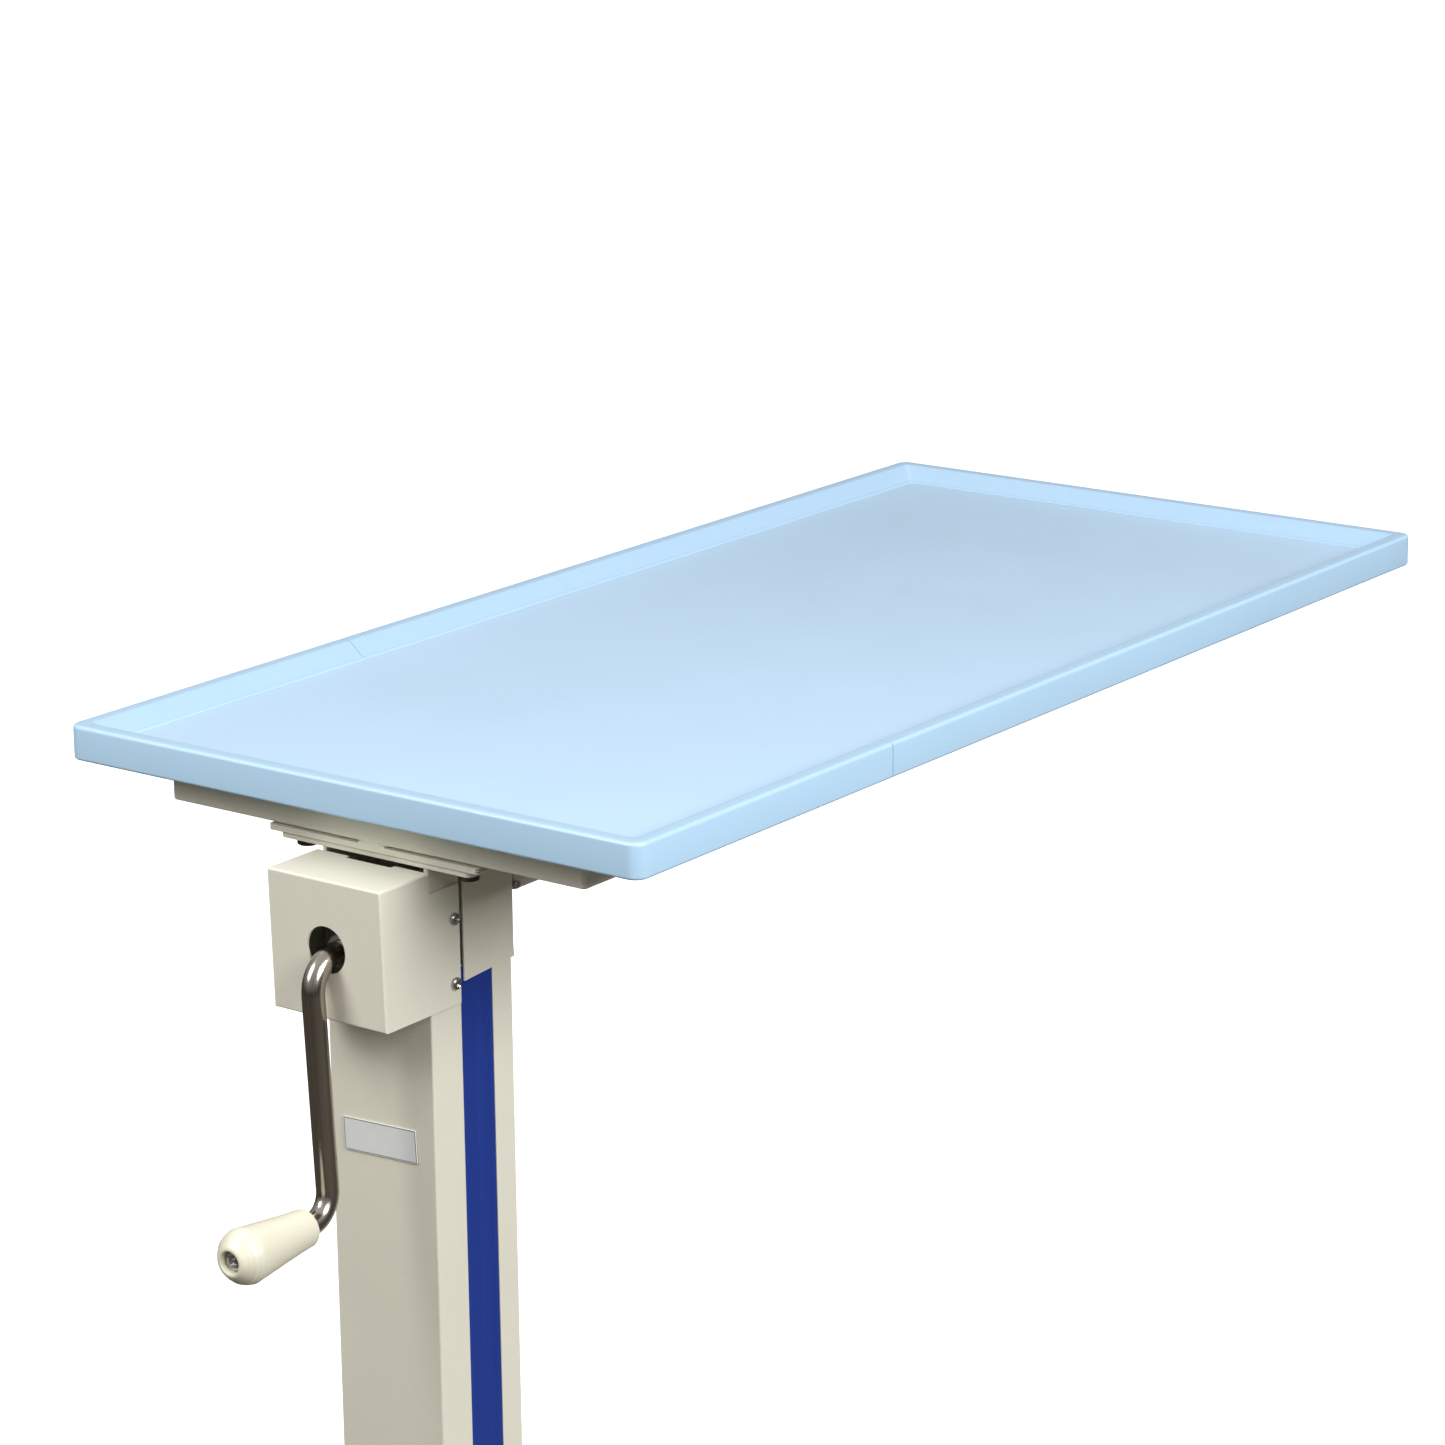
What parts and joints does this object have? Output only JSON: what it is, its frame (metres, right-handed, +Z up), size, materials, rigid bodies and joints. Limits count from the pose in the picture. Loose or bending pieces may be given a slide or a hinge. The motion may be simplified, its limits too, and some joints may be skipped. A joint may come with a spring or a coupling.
{
  "type": "overbed table",
  "caption": "Overbed table: rimmed tray cantilevered from a square column that a side crank raises through bevel gears and a screw, on a U-shaped castor base.",
  "frame": {"origin": "on the floor, under the middle of the table's overall box", "axes": "+X along the tray, from the crank's end to the far end; +Y across the tray; +Z up"},
  "size_m": [0.937, 0.4, 0.7702],
  "materials": {
    "tray_blue": "satin pale blue moulded plastic",
    "rim_blue": "satin light blue moulded plastic",
    "cream_paint": "satin cream powder coat",
    "dark_steel": "dark oxide",
    "stripe_blue": "glossy dark blue insert",
    "label_white": "blank white label",
    "zinc": "bright zinc plate",
    "stainless": "polished stainless",
    "ivory_plastic": "ivory moulded plastic",
    "bright_steel": "machined steel",
    "bronze": "machined bronze",
    "nylon": "natural nylon",
    "black_plastic": "black moulded plastic",
    "grey_plastic": "grey moulded plastic",
    "castor_tyre": "grey rubber tyre"
  },
  "bodies": {
    "base": {"base_frame": "cream_paint", "leg_cap_1": "grey_plastic", "leg_cap_2": "grey_plastic", "leg_cap_3": "grey_plastic", "leg_cap_4": "grey_plastic", "inner_post": "bright_steel", "post_head": "bright_steel", "screw_nut": "bronze", "upper_guide": "nylon", "castor_head_1": "zinc", "castor_head_2": "zinc", "castor_head_3": "zinc", "castor_head_4": "zinc"},
    "column": {"tray_panel": "tray_blue", "rim_short": "rim_blue", "rim_long": "rim_blue", "support_frame": "cream_paint", "mounting_plate": "cream_paint", "column_flange": "cream_paint", "flange_bolt_1": "dark_steel", "flange_bolt_2": "dark_steel", "flange_bolt_3": "dark_steel", "flange_bolt_4": "dark_steel", "rear_gusset": "cream_paint", "lift_column": "cream_paint", "side_stripe_left": "stripe_blue", "side_stripe_right": "stripe_blue", "label_plate": "label_white", "rear_saddle": "cream_paint", "crank_cover": "cream_paint", "cover_screw_1": "zinc", "cover_screw_2": "zinc", "cover_screw_3": "zinc", "cover_screw_4": "zinc", "gear_bracket": "bright_steel", "shaft_bush": "bronze", "thrust_bearing": "bright_steel", "lower_guide": "black_plastic"},
    "crank": {"crank_rod": "stainless", "crank_socket": "bright_steel", "bevel_pinion": "bright_steel", "grip_screw": "zinc"},
    "grip": {"crank_grip": "ivory_plastic"},
    "screw": {"lead_screw": "bright_steel", "bevel_gear": "bright_steel"},
    "castor_1": {"castor_fork_1": "zinc", "castor_axle_1": "zinc"},
    "wheel_1": {"castor_wheel_1": "castor_tyre"},
    "castor_2": {"castor_fork_2": "zinc", "castor_axle_2": "zinc"},
    "wheel_2": {"castor_wheel_2": "castor_tyre"},
    "castor_3": {"castor_fork_3": "zinc", "castor_axle_3": "zinc"},
    "wheel_3": {"castor_wheel_3": "castor_tyre"},
    "castor_4": {"castor_fork_4": "zinc", "castor_axle_4": "zinc"},
    "wheel_4": {"castor_wheel_4": "castor_tyre"},
    "brake_1": {"brake_pedal_1": "black_plastic"},
    "brake_2": {"brake_pedal_2": "black_plastic"}
  },
  "joints": [
    {"name": "crank_turn", "type": "hinge", "parent": "column", "child": "crank", "pos_m": [-0.3751, 0, 0.6762], "axis": [1, 0, 0], "range_deg": [0, 13500]},
    {"name": "column_lift", "type": "slide", "parent": "base", "child": "column", "axis": [0, 0, 1], "range_m": [0, 0.3]},
    {"name": "screw_turn", "type": "hinge", "parent": "column", "child": "screw", "pos_m": [-0.3003, 0, 0.6762], "axis": [0, 0, 1], "range_deg": [-13500, 0]},
    {"name": "grip_spin", "type": "hinge", "parent": "crank", "child": "grip", "pos_m": [-0.4075, -0.00698, 0.53357], "axis": [1, 0, 0], "continuous": true},
    {"name": "castor_swivel_1", "type": "hinge", "parent": "base", "child": "castor_1", "pos_m": [-0.353, 0.17, 0.06], "axis": [0, 0, 1], "continuous": true},
    {"name": "wheel_spin_1", "type": "hinge", "parent": "castor_1", "child": "wheel_1", "pos_m": [-0.371, 0.17, 0.025], "axis": [0, 1, 0], "continuous": true},
    {"name": "brake_press_1", "type": "hinge", "parent": "castor_1", "child": "brake_1", "pos_m": [-0.38, 0.17, 0.052], "axis": [0, -1, 0], "range_deg": [0, 18]},
    {"name": "castor_swivel_2", "type": "hinge", "parent": "base", "child": "castor_2", "pos_m": [-0.353, -0.17, 0.06], "axis": [0, 0, 1], "continuous": true},
    {"name": "wheel_spin_2", "type": "hinge", "parent": "castor_2", "child": "wheel_2", "pos_m": [-0.371, -0.17, 0.025], "axis": [0, 1, 0], "continuous": true},
    {"name": "brake_press_2", "type": "hinge", "parent": "castor_2", "child": "brake_2", "pos_m": [-0.38, -0.17, 0.052], "axis": [0, -1, 0], "range_deg": [0, 18]},
    {"name": "castor_swivel_3", "type": "hinge", "parent": "base", "child": "castor_3", "pos_m": [0.203, 0.17, 0.06], "axis": [0, 0, 1], "continuous": true},
    {"name": "wheel_spin_3", "type": "hinge", "parent": "castor_3", "child": "wheel_3", "pos_m": [0.185, 0.17, 0.025], "axis": [0, 1, 0], "continuous": true},
    {"name": "castor_swivel_4", "type": "hinge", "parent": "base", "child": "castor_4", "pos_m": [0.203, -0.17, 0.06], "axis": [0, 0, 1], "continuous": true},
    {"name": "wheel_spin_4", "type": "hinge", "parent": "castor_4", "child": "wheel_4", "pos_m": [0.185, -0.17, 0.025], "axis": [0, 1, 0], "continuous": true}
  ],
  "couplings": [
    {"joint": "column_lift", "follows": "crank_turn", "m_per_rad": 0.0012732},
    {"joint": "screw_turn", "follows": "crank_turn", "ratio": -1}
  ]
}
